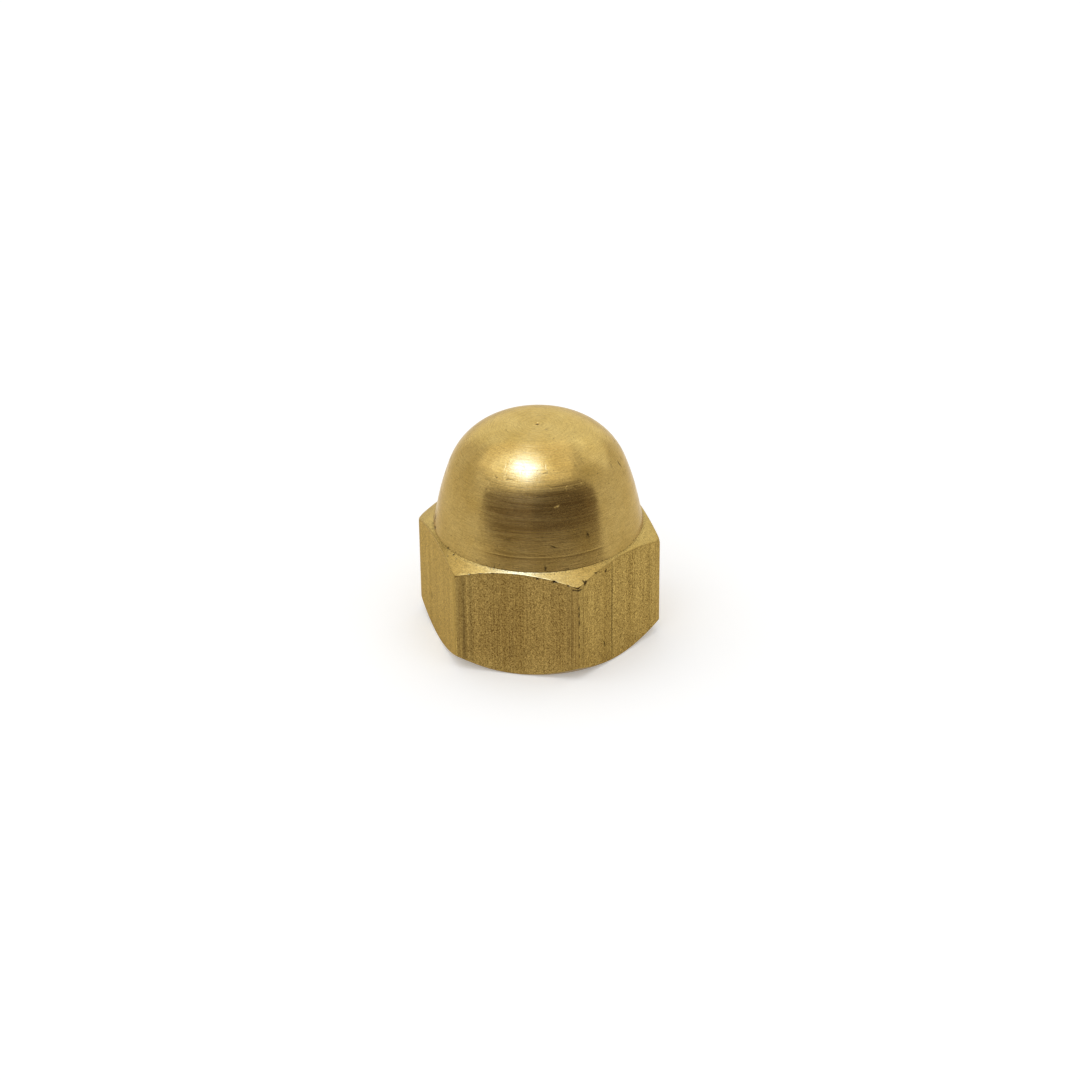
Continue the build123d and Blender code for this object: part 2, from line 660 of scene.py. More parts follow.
@dataclass
class TappedHole:
    """The blind hole: a countersink, the tapping drill with its point, and the thread.

    Lengths are in mm, and heights are above the bearing face. The drill and the tap's coil
    both start below it, so that they cut through it. The coil's foot is rooted in the metal
    that the drill removes, and at its end the ridge rises least above it.
    """

    thread_diameter: float = 10.0
    pitch: float = 1.5
    countersink_radius: float = 5.4
    countersink_depth: float = 0.664
    lip: float = 0.03
    lip_depths: tuple[float, float] = (0.008, 0.027)
    depth: float = 13.003
    point_height: float = 2.554
    drill_start: float = -2.6
    thread_end: float = 12.35
    thread_start: float = -1.5
    lead_length: float = 2.4
    rooted: float = 0.15
    least_rise: float = 0.02
    steps_per_turn: int = 120

    def __post_init__(self) -> None:
        """Works out the drill's radius and the radius of the softened mouth."""
        self.drill_radius = (self.thread_diameter - self.pitch) / 2
        self.mouth_radius = self.countersink_radius + self.lip

    def _drill(self, angles: np.ndarray) -> bpy.types.Object:
        """Makes the closed solid that the drill and countersink remove.

        Args:
            angles: the columns round the axis, in radians.

        Returns:
            The solid, which starts below the bearing face.
        """
        outline = [
            (self.mouth_radius, self.drill_start),
            (self.mouth_radius, 0.0),
            (self.countersink_radius, self.lip_depths[0]),
            (self.countersink_radius - self.lip, self.lip_depths[1]),
            (self.drill_radius, self.countersink_depth),
            (self.drill_radius, self.depth),
            (self.drill_radius / 2, self.depth + self.point_height / 2),
        ]
        points = [around(a, r, z) for r, z in outline for a in angles]
        points += [(0, 0, self.drill_start), (0, 0, self.depth + self.point_height)]
        count, faces = len(angles), []
        for row in range(len(outline) - 1):
            for i in range(count):
                a, b = row * count + i, row * count + (i + 1) % count
                faces.append((a, b, b + count, a + count))
        last = (len(outline) - 1) * count
        for i in range(count):
            after = (i + 1) % count
            faces.append((after, i, len(points) - 2))
            faces.append((last + i, last + after, len(points) - 1))
        return mesh_object("hole_drill", points, faces)

    def _tap(self) -> bpy.types.Object:
        """Makes the helical ridge that the tap cuts, fading out over the tap's lead.

        Returns:
            A closed coil whose foot lies inside the drilled hole.
        """
        foot = self.drill_radius - self.rooted
        crest = self.thread_diameter / 2
        slope = math.tan(math.radians(30))  # the flanks of a metric thread
        half_foot = self.pitch / 16 + (crest - foot) * slope
        least = foot + self.least_rise
        count = int((self.thread_end - self.thread_start) / self.pitch * self.steps_per_turn)
        points, faces = [], []
        for i in range(count + 1):
            turn = 2 * math.pi * i / self.steps_per_turn
            height = self.thread_start + self.pitch * i / self.steps_per_turn
            left = (self.thread_end - height) / self.lead_length
            outer = least + (crest - foot - self.least_rise) * min(1.0, left)
            half_crest = half_foot - (outer - foot) * slope
            points += [
                around(turn, foot, height - half_foot),
                around(turn, outer, height - half_crest),
                around(turn, outer, height + half_crest),
                around(turn, foot, height + half_foot),
            ]
        for i in range(count):
            for side in range(4):
                a, b = 4 * i + side, 4 * i + (side + 1) % 4
                faces.append((a, a + 4, b + 4, b))
        faces.append((0, 1, 2, 3))
        faces.append((4 * count + 3, 4 * count + 2, 4 * count + 1, 4 * count))
        return mesh_object("hole_tap", points, faces)

    def surface(self, angles: np.ndarray) -> bpy.types.Mesh:
        """Joins what the drill and the tap remove and keeps its skin above the bearing face.

        Args:
            angles: the columns round the axis, in radians.

        Returns:
            The wall of the hole, facing the hole, open at the bearing face.
        """
        drill, tap = self._drill(angles), self._tap()
        join = drill.modifiers.new("thread", "BOOLEAN")
        join.operation = "UNION"
        join.solver = "EXACT"
        join.object = tap
        bpy.context.view_layer.update()
        shape = bpy.data.meshes.new_from_object(
            drill.evaluated_get(bpy.context.evaluated_depsgraph_get())
        )
        for made in (drill, tap):
            bpy.data.objects.remove(made)
        work = bmesh.new()
        work.from_mesh(shape)
        low = [f for f in work.faces if f.calc_center_median().z < -1e-8]
        bmesh.ops.delete(work, geom=low, context="FACES")
        bmesh.ops.reverse_faces(work, faces=work.faces)
        work.to_mesh(shape)
        work.free()
        return shape


@dataclass(frozen=True)
class Brass:
    """Bare brass: what the finishes of the nut share, as sRGB hex colours.

    Args:
        name: the material's name.
        edge_tint: the metal's colour where it is seen edge on.
        dirt: the colour of the dirt in its hollows.
    """

    name: str = "brass"
    edge_tint: str = "#FEF2D8"
    dirt: str = "#2B2012"

    def _finish(
        self,
        made: bpy.types.Material,
        add: Adder,
        metal: bpy.types.Node,
        specks: bpy.types.Node,
        inputs: dict[str, Any],
    ) -> bpy.types.Material:
        """Puts the dirt on and makes the metal's shader.

        Args:
            made: the material.
            add: what adds a node to it.
            metal: the clean metal's colour.
            specks: how dark the finish's own specks are.
            inputs: what the shader takes besides its colour.

        Returns:
            The finished material.
        """
        pits = add("ShaderNodeAttribute", attribute_name="pit").outputs["Fac"]
        dark = add("ShaderNodeMath", (specks, pits), operation="MAXIMUM")
        colour = add(
            "ShaderNodeMix",
            {"Factor": dark, "A": metal, "B": linear(self.dirt)},
            data_type="RGBA",
        )
        tint = linear(self.edge_tint)
        shader = add(
            "ShaderNodeBsdfPrincipled",
            {"Base Color": colour, "Metallic": 1.0, "Specular Tint": tint, **inputs},
        )
        add("ShaderNodeOutputMaterial", {"Surface": shader})
        return made


@dataclass(frozen=True)
class TurnedBrass(Brass):
    """Free-cutting brass as a lathe tool leaves it.

    Fine rings run round the axis, so a lamp's reflection is drawn out across them and
    stays narrow along them. Widths, depths and reaches are in mm, the rest are shares.
    """

    name: str = "turned_brass"
    colour: str = "#C0A25F"
    shade: str = "#B2924D"
    roughness: float = 0.245
    roughness_spread: float = 0.13
    anisotropy: float = 0.7
    ring_width: float = 0.16
    ring_depth: float = 0.004
    ring_contrast: float = 0.18
    scratch_width: float = 0.06
    cloud_width: float = 2.6
    sand: float = 0.25
    sand_size: float = 0.08
    speck_size: float = 0.16
    speck_share: float = 0.70
    speck_blur: float = 0.06
    speck_tone: float = 0.55
    dirt_gain: float = 0.12
    dirt_reach: float = 0.3

    def material(self) -> bpy.types.Material:
        """Builds the finish: rings, hair scratches, specks and a faint tarnish.

        Returns:
            The material.
        """
        made, add = new_material(self.name)
        grain = add("ShaderNodeAttribute", attribute_name="grain_mm").outputs["Vector"]
        place = add("ShaderNodeTexCoord").outputs["Object"]
        # The rings are as wide as the tool's feed; hair scratches are finer and shorter.
        rings = add(
            "ShaderNodeTexNoise", {"Vector": grain, "Scale": 1 / self.ring_width, "Detail": 3.0}
        )
        short = add("ShaderNodeVectorMath", (grain, (2.0, 2.0, 1.0)), operation="MULTIPLY")
        hairs = add(
            "ShaderNodeTexNoise", {"Vector": short, "Scale": 1 / self.scratch_width, "Detail": 2.0}
        )
        marks = add("ShaderNodeMath", (rings, hairs), operation="ADD")
        bump = add(
            "ShaderNodeBump", {"Height": marks, "Distance": self.ring_depth * MM, "Strength": 1.0}
        )
        # Noise seldom leaves the middle of its range, so a map range takes that middle to the
        # finish's own range.
        spread = self.roughness_spread / 2
        rough = add(
            "ShaderNodeMapRange",
            (rings, 0.3, 0.7, self.roughness - spread, self.roughness + spread),
        )
        # Tarnish comes in soft clouds a few millimetres wide.
        clouds = add(
            "ShaderNodeTexNoise",
            {"Vector": place, "Scale": 1 / (self.cloud_width * MM), "Detail": 4.0},
        )
        tone = add("ShaderNodeMapRange", (clouds, 0.35, 0.72))
        metal = add(
            "ShaderNodeMix",
            {"Factor": tone, "A": linear(self.colour), "B": linear(self.shade)},
            data_type="RGBA",
        )
        # Where the tool tore the metal, every grain has its own tone. The real grains are
        # half as wide; these are as fine as can still be seen.
        cells = add("ShaderNodeTexVoronoi", {"Vector": place, "Scale": 1 / (self.sand_size * MM)})
        cell = add("ShaderNodeSeparateColor", (cells.outputs["Color"],))
        grain_tone = add("ShaderNodeMapRange", (cell, 0.0, 1.0, 1.0 - self.sand, 1.0))
        ring_tone = add("ShaderNodeMapRange", (hairs, 0.3, 0.6, 1.0 - self.ring_contrast, 1.0))
        grey = add("ShaderNodeMath", (grain_tone, ring_tone), operation="MULTIPLY")
        sanded = add(
            "ShaderNodeMix",
            {"Factor": 1.0, "A": metal, "B": grey},
            data_type="RGBA",
            blend_type="MULTIPLY",
        )
        specks = add(
            "ShaderNodeTexNoise",
            {"Vector": place, "Scale": 1 / (self.speck_size * MM), "Detail": 1.0},
        )
        # Dirt gathers in the crease between the dome and the shoulder, so the specks are
        # closer together there.
        border = add("ShaderNodeAttribute", attribute_name="border_mm").outputs["Fac"]
        gather = add(
            "ShaderNodeMapRange",
            (border, 0.0, self.dirt_reach, self.dirt_gain, 0.0),
            interpolation_type="SMOOTHSTEP",
        )
        gathered = add("ShaderNodeMath", (specks, gather), operation="ADD")
        dots = add(
            "ShaderNodeMapRange",
            (gathered, self.speck_share, self.speck_share + self.speck_blur, 0.0, self.speck_tone),
        )
        tangent = add("ShaderNodeTangent", direction_type="RADIAL", axis="Z")
        # The quarter turn draws reflections out across the rings.
        inputs = {
            "Roughness": rough,
            "Anisotropic": self.anisotropy,
            "Anisotropic Rotation": 0.25,
            "Tangent": tangent,
            "Normal": bump,
        }
        return self._finish(made, add, sanded, dots, inputs)


@dataclass(frozen=True)
class DrawnBrass(Brass):
    """Brass bar as it leaves the drawing die, never polished.

    A matt, sandy skin with fine lines along the bar; near the corners the die rubbed it
    smoother, so the lines show more there. Widths, sizes and reaches are in mm.
    """

    name: str = "drawn_brass"
    edge_tint: str = "#F6E4BC"
    dirt: str = "#2C2014"
    grain_dark: str = "#674D25"
    grain_light: str = "#D6B86C"
    band_shade: str = "#B5A583"
    roughness: float = 0.42
    grain_size: float = 0.048
    grain_depth: float = 0.005
    larger_by: float = 2.2
    larger_share: float = 0.42
    line_width: float = 0.10
    line_share: tuple[float, float] = (0.34, 0.6)
    band_width: float = 1.5
    smooth_from: float = 3.7
    smooth_blend: float = 0.8
    whole_share: tuple[float, float] = (0.15, 0.965)
    torn_tone: float = 0.6
    edge_reach: float = 0.10

    def material(self) -> bpy.types.Material:
        """Builds the finish: sandy grain, drawing lines, and smoother strips by the corners.

        Returns:
            The material.
        """
        made, add = new_material(self.name)
        grain = add("ShaderNodeAttribute", attribute_name="grain_mm").outputs["Vector"]
        # Each grain of the skin has its own tone and is a little longer along the bar.
        # Real grains are a few hundredths of a millimetre wide; these are at the coarse
        # end of that, so that they show.
        squeezed = add("ShaderNodeVectorMath", (grain, (1.0, 1.0, 0.75)), operation="MULTIPLY")
        cells = add("ShaderNodeTexVoronoi", {"Vector": squeezed, "Scale": 1 / self.grain_size})
        cell = add("ShaderNodeSeparateColor", (cells.outputs["Color"],))
        # Grains about twice as large, evenly spread, lie over them.
        larger = add(
            "ShaderNodeTexVoronoi",
            {"Vector": squeezed, "Scale": 1 / (self.larger_by * self.grain_size)},
        )
        sand = add("ShaderNodeMix", {"Factor": self.larger_share, 2: cell, 3: larger})
        # The die's lines run the whole length of the bar.
        drawn = add("ShaderNodeVectorMath", (grain, (1.0, 1.0, 0.010)), operation="MULTIPLY")
        lines = add(
            "ShaderNodeTexNoise", {"Vector": drawn, "Scale": 1 / self.line_width, "Detail": 2.0}
        )
        bands = add(
            "ShaderNodeTexNoise", {"Vector": drawn, "Scale": 1 / self.band_width, "Detail": 1.0}
        )
        across = add("ShaderNodeSeparateXYZ", (grain,)).outputs["X"]
        out = add("ShaderNodeMath", (across,), operation="ABSOLUTE")
        strip = add(
            "ShaderNodeMapRange",
            (out, self.smooth_from, self.smooth_from + self.smooth_blend, *self.line_share),
            interpolation_type="SMOOTHSTEP",
        )
        skin = add("ShaderNodeMix", {"Factor": strip, 2: sand, 3: lines})
        bump = add(
            "ShaderNodeBump", {"Height": skin, "Distance": self.grain_depth * MM, "Strength": 1.0}
        )
        tone = add("ShaderNodeMapRange", (skin, 0.24, 0.76))
        metal = add(
            "ShaderNodeMix",
            {"Factor": tone, "A": linear(self.grain_dark), "B": linear(self.grain_light)},
            data_type="RGBA",
        )
        shade = add("ShaderNodeMapRange", (bands, 0.45, 0.75, 0.0, 0.35))
        banded = add(
            "ShaderNodeMix",
            {"Factor": shade, "A": metal, "B": linear(self.band_shade)},
            data_type="RGBA",
            blend_type="MULTIPLY",
        )
        # Some grains are torn out, most of them along the edge that the chamfering tool cut.
        border = add("ShaderNodeAttribute", attribute_name="border_mm").outputs["Fac"]
        whole = add("ShaderNodeMapRange", (border, 0.0, self.edge_reach, *self.whole_share))
        torn = add("ShaderNodeMath", (cell.outputs["Green"], whole), operation="GREATER_THAN")
        holes = add("ShaderNodeMath", (torn, self.torn_tone), operation="MULTIPLY")
        inputs = {"Roughness": self.roughness, "Normal": bump}
        return self._finish(made, add, banded, holes, inputs)


@dataclass
class CapNut:
    """The whole nut, as one closed mesh.

    Lengths are in mm and angles in degrees. Each edge of the outline is softened from a
    short way before it to as far behind it, and further at the worn tips of the hexagon.
    Where no edge gathers dirt or loses grain, a surface reads no_border as its distance
    from one. Turned surfaces read their rings from a place whose part across the axis is
    squeezed, so that the rings hardly change round it.
    """

    crease_height: float = 9.25
    dome_inset: float = 0.21
    shoulder_angle: float = 30.0
    bearing_inset: float = 0.11
    lower_chamfer_angle: float = 39.0
    edge_softening: float = 0.045
    tip_softening: float = 0.22
    tip_reach: float = 0.16
    crease_softening: float = 0.027
    bearing_rows: int = 7
    lower_rows: int = 3
    flat_rows: int = 24
    last_row: float = 0.02
    shoulder_rows: int = 5
    dome_step: float = 0.4
    hexagon: Hexagon = field(default_factory=Hexagon)
    hole: TappedHole = field(default_factory=TappedHole)
    unevenness: Ripple = Ripple(11, (1.2, 4.5), 6.0)
    uneven_depth: float = 0.006
    nicks: tuple[Nick, ...] = tuple(Nick(*row) for row in NICKS)
    nick_rounds: int = 3
    hair_marks: int = 130
    hair_lengths: tuple[float, float] = (0.16, 0.42)
    hair_turns: tuple[float, float] = (25.0, 75.0)
    hair_width: float = 0.06
    hair_depth: float = 0.014
    pip_dirt: float = 0.85
    sharp_angle: float = 34.0
    no_border: float = 9.0
    ring_squeeze: float = 0.03
    weld: float = 0.002

    def __post_init__(self) -> None:
        """Works out the radii that follow from the sizes."""
        half = self.hexagon.across_flats / 2
        self.bearing_radius = half - self.bearing_inset
        self.foot_radius = half - self.dome_inset
        self.dome = DomeOutline(self.foot_radius, self.crease_height)

    @staticmethod
    def _rounded(before: Ring, corner: Ring, after: Ring, size: float | np.ndarray) -> list[Ring]:
        """Softens a corner of the outline.

        Args:
            before: a ring of the line that leads to the corner.
            corner: the corner itself.
            after: a ring of the line that leaves it.
            size: how far from the corner the softening starts, in mm.

        Returns:
            Four rings from one line to the other.
        """
        ends = []
        for other in (before, after):
            across, up = other[0] - corner[0], other[1] - corner[1]
            length = np.hypot(across, up)
            ends.append((corner[0] + across / length * size, corner[1] + up / length * size))
        rings = []
        for share in (0.0, 1 / 3, 2 / 3, 1.0):
            a, b, c = (1 - share) ** 2, 2 * share * (1 - share), share**2
            rings.append(tuple(a * ends[0][k] + b * corner[k] + c * ends[1][k] for k in (0, 1)))
        return rings

    @staticmethod
    def _between(a: Ring, b: Ring, count: int) -> list[Ring]:
        """Lists evenly spaced rings inside the line from a to b."""
        shares = [i / (count + 1) for i in range(1, count + 1)]
        return [(a[0] + (b[0] - a[0]) * s, a[1] + (b[1] - a[1]) * s) for s in shares]

    def _edge_heights(self, radii: np.ndarray) -> tuple[np.ndarray, np.ndarray]:
        """Finds where the flats end.

        Args:
            radii: the hexagon's radius at each column.

        Returns:
            The heights of the flats' lower and upper edges there, in mm.
        """
        climb = math.tan(math.radians(self.lower_chamfer_angle))
        drop = math.tan(math.radians(self.shoulder_angle))
        low = (radii - self.bearing_radius) * climb
        high = self.crease_height - (radii - self.foot_radius) * drop
        return low, high

    def _rings(self, radii: np.ndarray) -> list[tuple[Ring, Zone]]:
        """Lays out the rings of points from the hole's mouth to the dome's foot.

        Args:
            radii: the hexagon's radius at each column.

        Returns:
            Each ring, and the zone of the faces above it.
        """
        ones = np.ones_like(radii)
        low, high = self._edge_heights(radii)
        mouth = (ones * self.hole.mouth_radius, 0 * ones)
        rim = (ones * self.bearing_radius, 0 * ones)
        foot = (radii, low)
        top = (radii, high)
        crease = (ones * self.foot_radius, ones * self.crease_height)
        radius, height, _ = self.dome.at(self.dome.first_ring)
        rise = (ones * radius, ones * height)
        soft = self.edge_softening
        tips = np.clip(1 - (radii.max() - radii) / self.tip_reach, 0, 1)
        rim_rings = self._rounded(mouth, rim, foot, soft)
        foot_rings = self._rounded(rim, foot, top, soft)
        top_rings = self._rounded(foot, top, crease, soft + (self.tip_softening - soft) * tips)
        crease_rings = self._rounded(top, crease, rise, self.crease_softening)
        # The flats' last ring, close under the edge, carries their grain right up to it.
        last = (top_rings[0][0], top_rings[0][1] - self.last_row)
        bearing = self._between(mouth, rim_rings[0], self.bearing_rows)
        lower = self._between(rim_rings[-1], foot_rings[0], self.lower_rows)
        flats = self._between(foot_rings[-1], top_rings[0], self.flat_rows)
        shoulder = self._between(top_rings[-1], crease_rings[0], self.shoulder_rows)
        zones = (
            (Zone.BEARING, [mouth, *bearing]),
            (Zone.CHAMFER, [*rim_rings, *lower, *foot_rings[:-1]]),
            (Zone.FLAT, [foot_rings[-1], *flats, last]),
            (Zone.CHAMFER, [*top_rings, *shoulder, *crease_rings[:-1]]),
            (Zone.DOME, [crease_rings[-1]]),
        )
        return [(ring, zone) for zone, rings in zones for ring in rings]

    def _turned_grain(self, x: float, y: float, run: float) -> tuple[float, float, float]:
        """The place where a turned surface reads its rings."""
        return x * self.ring_squeeze, y * self.ring_squeeze, run

    def _shell(self) -> tuple[bmesh.types.BMesh, np.ndarray]:
        """Builds the outside of the nut from the hole's mouth to the tip of the dome.

        Returns:
            The shell and the columns' angles.
        """
        angles, radii, across, sides, follows = self.hexagon.columns()
        low, high = self._edge_heights(radii)
        shell = bmesh.new()
        grain_layer = shell.verts.layers.float_vector.new("grain_mm")
        pit_layer = shell.verts.layers.float.new("pit")
        border_layer = shell.verts.layers.float.new("border_mm")

        def point(
            angle: float, radius: float, height: float, run: float, border: float
        ) -> bmesh.types.BMVert:
            """Adds a point of a turned surface, with what its finish reads there.

            Args:
                angle: its place round the axis, in radians.
                radius: its distance from the axis, in mm.
                height: its height above the bearing face, in mm.
                run: how far along the outline the finish reads its rings, in mm.
                border: its distance from the edge where dirt gathers, in mm.

            Returns:
                The new point.
            """
            x, y, z = around(angle, radius, height)
            vert = shell.verts.new((x * MM, y * MM, z * MM))
            vert[grain_layer] = self._turned_grain(x, y, run)
            vert[border_layer] = border
            return vert

        rings: list[list[bmesh.types.BMVert]] = []
        zones: list[Zone] = []
        # Each flat and the dome read the patterns at places of their own, far apart.
        flat_apart, grain_apart, dome_apart = 37.0, 40.0, 20.0
        for (ring_radii, heights), zone in self._rings(radii):
            flat = zone is Zone.FLAT
            uneven = self.unevenness.at(across + sides * flat_apart, heights)
            ring = []
            for i, (angle, outer, height) in enumerate(zip(angles, ring_radii, heights)):
                radius, dark = outer, 0.0
                if flat:
                    radius = outer - self.uneven_depth * uneven[i]
                if flat and follows[i] >= 0:
                    cut = self.hexagon.scratches[follows[i]]
                    radius -= cut.depth * cut.strength(height)
                    dark = cut.dirt * cut.strength(height)
                border = outer - self.foot_radius if height > low[i] else self.no_border
                vert = point(angle, radius, height, outer, border)
                if flat:
                    vert[pit_layer] = dark
                    vert[grain_layer] = (across[i], sides[i] * grain_apart, height)
                    vert[border_layer] = high[i] - height
                ring.append(vert)
            rings.append(ring)
            zones.append(zone)
        dome = self.dome
        for run in dome.stations(self.dome_step):
            radius, height, lean = dome.at(run)
            radius -= dome.sunk(run) * math.cos(lean)
            height -= dome.sunk(run) * math.sin(lean)
            rings.append([point(a, radius, height, run + dome_apart, run) for a in angles])
            zones.append(Zone.DOME)
        pip = dome.height - dome.pip_depth
        tip = point(0.0, 0.0, pip, dome.length + dome_apart, dome.length)
        for vert in [*rings[-1], *rings[-2], tip]:
            vert[pit_layer] = self.pip_dirt
        count = len(angles)
        for lower, upper, zone in zip(rings, rings[1:], zones):
            for i in range(count):
                after = (i + 1) % count
                face = shell.faces.new((lower[i], lower[after], upper[after], upper[i]))
                face.material_index = zone.value
        for i in range(count):
            face = shell.faces.new((rings[-1][i], rings[-1][(i + 1) % count], tip))
            face.material_index = Zone.DOME.value
        return shell, angles

    def _add_hole(self, shell: bmesh.types.BMesh, angles: np.ndarray) -> None:
        """Joins the wall of the tapped hole to the bearing face.

        Args:
            shell: the outside of the nut.
            angles: the columns' angles.
        """
        wall = self.hole.surface(angles)
        grain_layer = shell.verts.layers.float_vector["grain_mm"]
        border_layer = shell.verts.layers.float["border_mm"]
        known_verts, known_faces = len(shell.verts), len(shell.faces)
        shell.from_mesh(wall)
        shell.verts.ensure_lookup_table()
        shell.faces.ensure_lookup_table()
        for vert in shell.verts[known_verts:]:
            vert[grain_layer] = self._turned_grain(*(c / MM for c in vert.co))
            vert[border_layer] = self.no_border
        for face in shell.faces[known_faces:]:
            face.material_index = Zone.BORE.value
        rim = [vert for vert in shell.verts if vert.is_boundary]
        bmesh.ops.remove_doubles(shell, verts=rim, dist=self.weld * MM)
        bpy.data.meshes.remove(wall)

    def _all_nicks(self) -> list[Nick]:
        """Adds hair marks round the nose of the dome, where loose nuts rub, to the nicks.

        Returns:
            The nicks, and then the hair marks.
        """
        picks = np.random.default_rng(7)
        found = list(self.nicks)
        # Most lie near the middle of the nose; the runs are in mm from the dome's foot.
        middle, spread, nose = 7.0, 1.3, (3.5, 10.5)
        for _ in range(self.hair_marks):
            run = float(np.clip(picks.normal(middle, spread), *nose))
            radius, height, _ = self.dome.at(run)
            angle, length = picks.uniform(-180, 180), picks.uniform(*self.hair_lengths)
            turn = picks.choice((-1, 1)) * picks.uniform(*self.hair_turns)
            size = (length, self.hair_width, turn, self.hair_depth)
            found.append(Nick(angle, radius, height, *size, dirt=0.0))
        return found

    def _add_nicks(self, shell: bmesh.types.BMesh) -> None:
        """Refines the mesh round the nicks and presses them into it.

        Args:
            shell: the closed nut.
        """
        nicks = self._all_nicks()
        for _ in range(self.nick_rounds):
            finder = PointFinder(shell)
            edges = {e: None for nick in nicks for e in nick.long_edges(finder)}
            bmesh.ops.subdivide_edges(shell, edges=list(edges), cuts=1, use_grid_fill=True)
        shell.normal_update()
        finder = PointFinder(shell)
        for seed, nick in enumerate(nicks):
            nick.press(finder, seed)

    def build(self, materials: dict[Zone, bpy.types.Material]) -> None:
        """Builds the nut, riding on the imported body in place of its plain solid.

        Args:
            materials: the finish of each zone.
        """
        shell, angles = self._shell()
        self._add_hole(shell, angles)
        bmesh.ops.recalc_face_normals(shell, faces=shell.faces)
        shell.normal_update()
        self._add_nicks(shell)
        gaps = sum(e.is_boundary or not e.is_manifold for e in shell.edges)
        mesh = bpy.data.meshes.new("brass_cap_nut")
        shell.to_mesh(mesh)
        shell.free()
        nut = bpy.data.objects.new("brass_cap_nut", mesh)
        bpy.context.scene.collection.objects.link(nut)
        for zone in Zone:
            mesh.materials.append(materials[zone])
        mesh.shade_smooth()
        mesh.set_sharp_from_angle(angle=math.radians(self.sharp_angle))
        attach(nut, "root")
        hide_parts("cap_nut")
        log.info("%s: %d faces, %d open edges", nut.name, len(mesh.polygons), gaps)


def direction(azimuth: float, elevation: float) -> Vector:
    """Points away from the nut.

    Args:
        azimuth: degrees from -Y, positive towards +X.
        elevation: degrees above the horizon.

    Returns:
        A vector of length 1.
    """
    a, e = math.radians(azimuth), math.radians(elevation)
    return Vector((math.sin(a) * math.cos(e), -math.cos(a) * math.cos(e), math.sin(e)))


@dataclass
class Softbox:
    """A soft lamp, placed by the direction it shines from.

    Args:
        name: the lamp's name.
        azimuth: where it stands, in degrees from the camera's side, positive to the right.
        elevation: how high it stands, in degrees.
        distance: how far from the nut, in mm.
        size: its width and height, in mm.
        radiance: how bright its face looks; the white surround is 1.
        colour: the light's sRGB colour.
        on_floor: whether the floor gets its light too.
    """

    name: str
    azimuth: float
    elevation: float
    distance: float
    size: tuple[float, float]
    radiance: float
    colour: str = "#FFFFFF"
    on_floor: bool = False

    def build(self, camera_azimuth: float, target: Vector) -> None:
        """Makes the lamp.

        Args:
            camera_azimuth: the camera's side, in degrees from -Y.
            target: what the lamp faces, in metres.
        """
        lamp = bpy.data.lights.new(self.name, "AREA")
        lamp.shape = "RECTANGLE"
        lamp.size, lamp.size_y = (s * MM for s in self.size)
        lamp.energy = self.radiance * math.pi * lamp.size * lamp.size_y
        lamp.color = linear(self.colour)[:3]
        made = bpy.data.objects.new(self.name, lamp)
        bpy.context.scene.collection.objects.link(made)
        toward = direction(camera_azimuth + self.azimuth, self.elevation)
        made.location = target + toward * self.distance * MM
        made.rotation_mode = "QUATERNION"
        made.rotation_quaternion = toward.to_track_quat("Z", "Y")
        made.visible_camera = False
        made.visible_diffuse = self.on_floor
        log.info("%s: %.2f W", self.name, lamp.energy)


@dataclass
class ViewCamera:
    """The camera at the photograph's viewing angle; lengths in mm, angles in degrees."""

    target_height: float = 6.8
    azimuth: float = 12.17
    elevation: float = 30.2
    distance: float = 249.12
    lens: float = 104.466
    aim_right: float = 0.114
    aim_up: float = 0.4735
    roll: float = 0.642
    sensor: float = 36.0
    clip_m: tuple[float, float] = (0.01, 20.0)

    @staticmethod
    def _sides(back: Vector) -> tuple[Vector, Vector]:
        """The directions to the right and up of a level camera that looks away from back."""
        right = Vector((0, 0, 1)).cross(back).normalized()
        return right, back.cross(right)

    def build(self) -> None:
        """Makes the camera and gives it to the scene."""
        back = direction(self.azimuth, self.elevation)
        target = Vector((0, 0, self.target_height)) * MM
        place = target + back * self.distance * MM
        right, up = self._sides(back)
        aim = target + (right * self.aim_right + up * self.aim_up) * MM
        back = (place - aim).normalized()
        right, up = self._sides(back)
        turn = math.radians(self.roll)
        rolled = right * math.cos(turn) - up * math.sin(turn)
        raised = up * math.cos(turn) + right * math.sin(turn)
        settings = bpy.data.cameras.new("camera")
        settings.lens = self.lens
        settings.sensor_width = self.sensor
        settings.clip_start, settings.clip_end = self.clip_m
        made = bpy.data.objects.new("camera", settings)
        bpy.context.scene.collection.objects.link(made)
        basis = Matrix((rolled, raised, back)).transposed().to_4x4()
        made.matrix_world = Matrix.Translation(place) @ basis
        bpy.context.scene.camera = made


def unseen_card(name: str, points: list[Sequence[float]], colour: str) -> None:
    """Makes a card that only reflections see.

    Args:
        name: the card's name.
        points: its outline, as pairs of points from one end to the other, in mm.
        colour: its sRGB colour.
    """
    faces = [(i, i + 2, i + 3, i + 1) for i in range(0, len(points) - 2, 2)]
    card = mesh_object(name, points, faces)
    # One tone that glows instead of being lit, so that what mirrors it is evenly dark. On the
    # floor card the tone is painted floor shade.
    made, add = new_material(name + "_cloth")
    cloth = add("ShaderNodeEmission", {"Color": linear(colour)})
    add("ShaderNodeOutputMaterial", {"Surface": cloth})
    card.data.materials.append(made)
    card.visible_camera = False
    card.visible_diffuse = False
    card.visible_shadow = False
    card.visible_transmission = False
    log.info("%s: placed", name)


